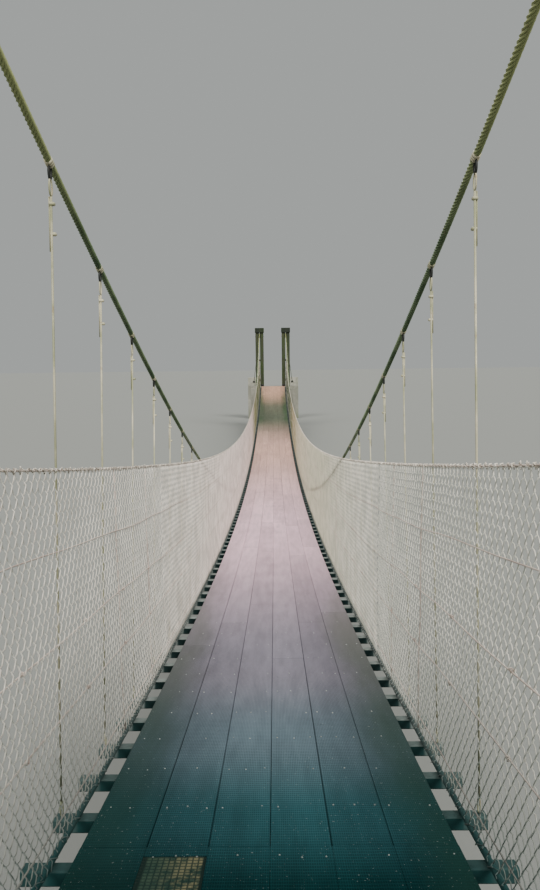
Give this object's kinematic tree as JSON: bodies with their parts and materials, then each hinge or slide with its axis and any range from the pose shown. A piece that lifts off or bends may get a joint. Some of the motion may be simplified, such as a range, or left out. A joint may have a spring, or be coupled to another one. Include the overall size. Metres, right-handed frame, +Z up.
{
  "type": "rope suspension footbridge, 1:2 scale model",
  "caption": "Wire rope suspension footbridge with a sagging plank deck, mesh sides, cable handrails, hangers, paired tower posts with caps, abutments and anchor blocks.",
  "frame": {"origin": "centre of the bounding box at its foot: on the ground, under mid-span, half-way between the two main cables", "axes": "+X right and +Y forward for someone who walks from the near end to the far one, +Z up"},
  "size_m": [1.91, 29.6712, 3.24],
  "materials": {
    "decking": "weathered planks with an anti-slip grid, greenish towards the edges",
    "galvanised_steel": "dull weathered galvanising",
    "mesh_wire": "pale galvanised wire",
    "wire_rope": "dark twisted wire rope with a green bloom",
    "post_timber": "weathered olive timber",
    "cap_timber": "dark weathered timber",
    "saddle_steel": "dark matte casting",
    "concrete": "weathered concrete with stains and green growth"
  },
  "bodies": {
    "root": {"deck_section_1": "decking", "deck_frame_1": "galvanised_steel", "mesh_panel_left_1": "mesh_wire", "mesh_panel_right_1": "mesh_wire", "deck_section_2": "decking", "deck_frame_2": "galvanised_steel", "mesh_panel_left_2": "mesh_wire", "mesh_panel_right_2": "mesh_wire", "deck_section_3": "decking", "deck_frame_3": "galvanised_steel", "mesh_panel_left_3": "mesh_wire", "mesh_panel_right_3": "mesh_wire", "deck_section_4": "decking", "deck_frame_4": "galvanised_steel", "mesh_panel_left_4": "mesh_wire", "mesh_panel_right_4": "mesh_wire", "deck_section_5": "decking", "deck_frame_5": "galvanised_steel", "mesh_panel_left_5": "mesh_wire", "mesh_panel_right_5": "mesh_wire", "main_cable_left": "wire_rope", "handrail_cable_left": "mesh_wire", "main_cable_right": "wire_rope", "handrail_cable_right": "mesh_wire", "near_abutment": "concrete", "near_left_inner_post": "post_timber", "near_left_outer_post": "post_timber", "near_left_post_cap": "cap_timber", "near_left_saddle": "saddle_steel", "near_left_anchor_block": "concrete", "near_right_inner_post": "post_timber", "near_right_outer_post": "post_timber", "near_right_post_cap": "cap_timber", "near_right_saddle": "saddle_steel", "near_right_anchor_block": "concrete", "far_abutment": "concrete", "far_left_inner_post": "post_timber", "far_left_outer_post": "post_timber", "far_left_post_cap": "cap_timber", "far_left_saddle": "saddle_steel", "far_left_anchor_block": "concrete", "far_right_inner_post": "post_timber", "far_right_outer_post": "post_timber", "far_right_post_cap": "cap_timber", "far_right_saddle": "saddle_steel", "far_right_anchor_block": "concrete"}
  },
  "joints": []
}
